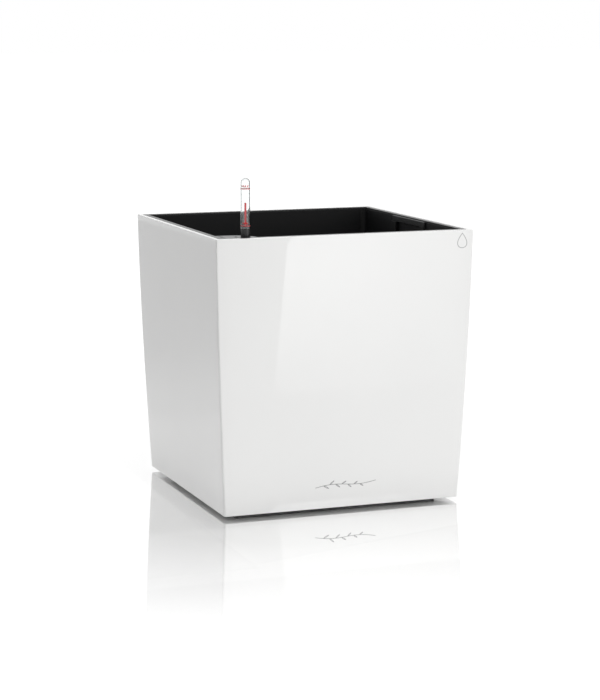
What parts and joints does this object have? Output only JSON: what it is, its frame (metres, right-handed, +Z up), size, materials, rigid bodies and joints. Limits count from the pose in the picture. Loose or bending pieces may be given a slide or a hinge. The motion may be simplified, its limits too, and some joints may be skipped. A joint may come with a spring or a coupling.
{
  "type": "self watering planter",
  "caption": "Square tapered planter with a gloss shell, a lift-out liner over a water reservoir, and a corner float gauge.",
  "frame": {"origin": "centre of the footprint, on the ground", "axes": "+Z up; front towards -Y; gauge in the -X, -Y corner"},
  "size_m": [0.4, 0.4, 0.496],
  "materials": {
    "shell_white": "glossy lacquered",
    "base_black": "moulded",
    "pad_rubber": "soft",
    "liner_black": "fine moulded grain",
    "frame_black": "fine moulded grain",
    "handle_black": "moulded",
    "insert_grey": "moulded",
    "shaft_black": "moulded",
    "plug_black": "moulded",
    "seal_rubber": "soft",
    "pin_steel": "drawn",
    "gauge_black": "extruded",
    "cap_clear": "clear, polished",
    "float_foam": "closed-cell foam",
    "pointer_red": "moulded"
  },
  "bodies": {
    "shell": {"outer_shell": "shell_white", "base_ring": "base_black", "foot_pads": "pad_rubber"},
    "shell_seal": {"shell_drain_seal": "seal_rubber"},
    "shell_plug": {"shell_drain_plug": "plug_black"},
    "liner": {"liner": "liner_black", "rim_frame": "frame_black", "overflow_pipe": "insert_grey", "separator_plate": "insert_grey", "separator_legs": "insert_grey", "wick_basket_1": "insert_grey", "wick_basket_2": "insert_grey", "wick_basket_3": "insert_grey", "wick_basket_4": "insert_grey", "supply_shaft": "shaft_black", "shaft_cover": "frame_black", "lid_hinge_pin": "pin_steel"},
    "liner_seal": {"liner_drain_seal": "seal_rubber"},
    "liner_plug": {"liner_drain_plug": "plug_black"},
    "handle_right": {"carry_handle_right": "handle_black"},
    "handle_left": {"carry_handle_left": "handle_black"},
    "fill_lid": {"fill_lid": "frame_black"},
    "gauge": {"gauge_tube": "gauge_black", "gauge_cap": "cap_clear", "gauge_sieve": "gauge_black", "rod_guide": "gauge_black"},
    "float": {"float": "float_foam", "float_rod": "pin_steel", "float_pointer": "pointer_red"}
  },
  "joints": [
    {"name": "liner_lift", "type": "slide", "parent": "shell", "child": "liner", "axis": [0, 0, 1], "range_m": [0, 0.42]},
    {"name": "handle_right_pull", "type": "slide", "parent": "liner", "child": "handle_right", "axis": [0.0173, 0, 0.9999], "range_m": [0, 0.046]},
    {"name": "handle_left_pull", "type": "slide", "parent": "liner", "child": "handle_left", "axis": [-0.0173, 0, 0.9999], "range_m": [0, 0.046]},
    {"name": "fill_lid_hinge", "type": "hinge", "parent": "liner", "child": "fill_lid", "pos_m": [-0.1795, -0.1656, 0.4095], "axis": [0, -1, 0], "range_deg": [0, 100]},
    {"name": "gauge_pull", "type": "slide", "parent": "liner", "child": "gauge", "axis": [0, 0, 1], "range_m": [0, 0.39]},
    {"name": "float_rise", "type": "slide", "parent": "gauge", "child": "float", "axis": [0, 0, 1], "range_m": [-0.034, 0.022]},
    {"name": "shell_plug_rise", "type": "slide", "parent": "shell", "child": "shell_seal", "axis": [0, 0, 1], "range_m": [0, 0.0071]},
    {"name": "shell_plug_turn", "type": "hinge", "parent": "shell_seal", "child": "shell_plug", "pos_m": [0, 0.105, 0.01], "axis": [0, 0, 1], "range_deg": [0, 840]},
    {"name": "liner_plug_drop", "type": "slide", "parent": "liner", "child": "liner_seal", "axis": [0, 0, -1], "range_m": [0, 0.0071]},
    {"name": "liner_plug_turn", "type": "hinge", "parent": "liner_seal", "child": "liner_plug", "pos_m": [0, 0, 0.02], "axis": [0, 0, -1], "range_deg": [0, 840]}
  ],
  "couplings": [
    {"joint": "shell_plug_rise", "follows": "shell_plug_turn", "m_per_rad": 0.00047746},
    {"joint": "liner_plug_drop", "follows": "liner_plug_turn", "m_per_rad": 0.00047746}
  ]
}
